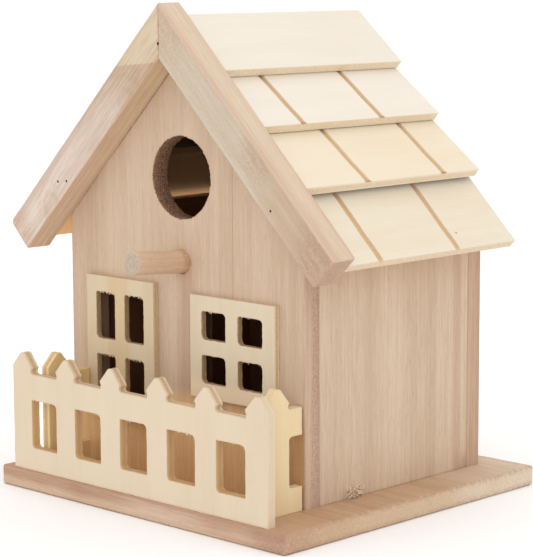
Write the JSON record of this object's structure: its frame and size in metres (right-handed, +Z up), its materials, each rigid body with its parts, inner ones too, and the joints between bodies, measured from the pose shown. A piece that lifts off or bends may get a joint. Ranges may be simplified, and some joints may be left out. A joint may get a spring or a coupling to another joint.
{
  "type": "birdhouse",
  "caption": "Gabled wooden nest box with lapped plank roof, round entrance and perch, pane windows, picket-fenced porch and a swinging clean-out door.",
  "frame": {"origin": "middle of the bounding box's underside, on the base board's bottom face, under the ridge", "axes": "+Z up; the entrance and the porch face -Y; +X to the right seen from the front"},
  "size_m": [0.1938, 0.1568, 0.2094],
  "materials": {
    "board_wood": "bare, planed, fine vertical grain",
    "barge_wood": "bare, planed, with knots and grey blotches",
    "dowel_wood": "bare, turned, grain along the rod",
    "plywood": "bare, thin pale plywood with darker cut edges",
    "steel": "plain zinc-plated"
  },
  "bodies": {
    "house": {"base_board": "board_wood", "front_wall": "board_wood", "back_wall": "board_wood", "left_wall": "board_wood", "right_wall": "board_wood", "perch_dowel": "dowel_wood", "door_screw": "steel", "barge_left": "barge_wood", "barge_right": "barge_wood", "shingle_left_1": "plywood", "shingle_left_2": "plywood", "shingle_left_3": "plywood", "shingle_left_4": "plywood", "shingle_right_1": "plywood", "shingle_right_2": "plywood", "shingle_right_3": "plywood", "shingle_right_4": "plywood", "window_left": "plywood", "window_right": "plywood", "fence_front": "plywood", "fence_left": "plywood", "fence_right": "plywood", "brad_peak": "steel", "brad_left_upper": "steel", "brad_left_lower": "steel", "brad_right": "steel", "base_brad_front_left": "steel", "base_brad_front_right": "steel", "base_brad_back_left": "steel", "base_brad_back_right": "steel"},
    "door": {"cleanout_door": "plywood"}
  },
  "joints": [
    {"name": "door_swing", "type": "hinge", "parent": "house", "child": "door", "pos_m": [0, 0.0647, 0.0796], "axis": [0, 1, 0], "range_deg": [-180, 180]}
  ]
}
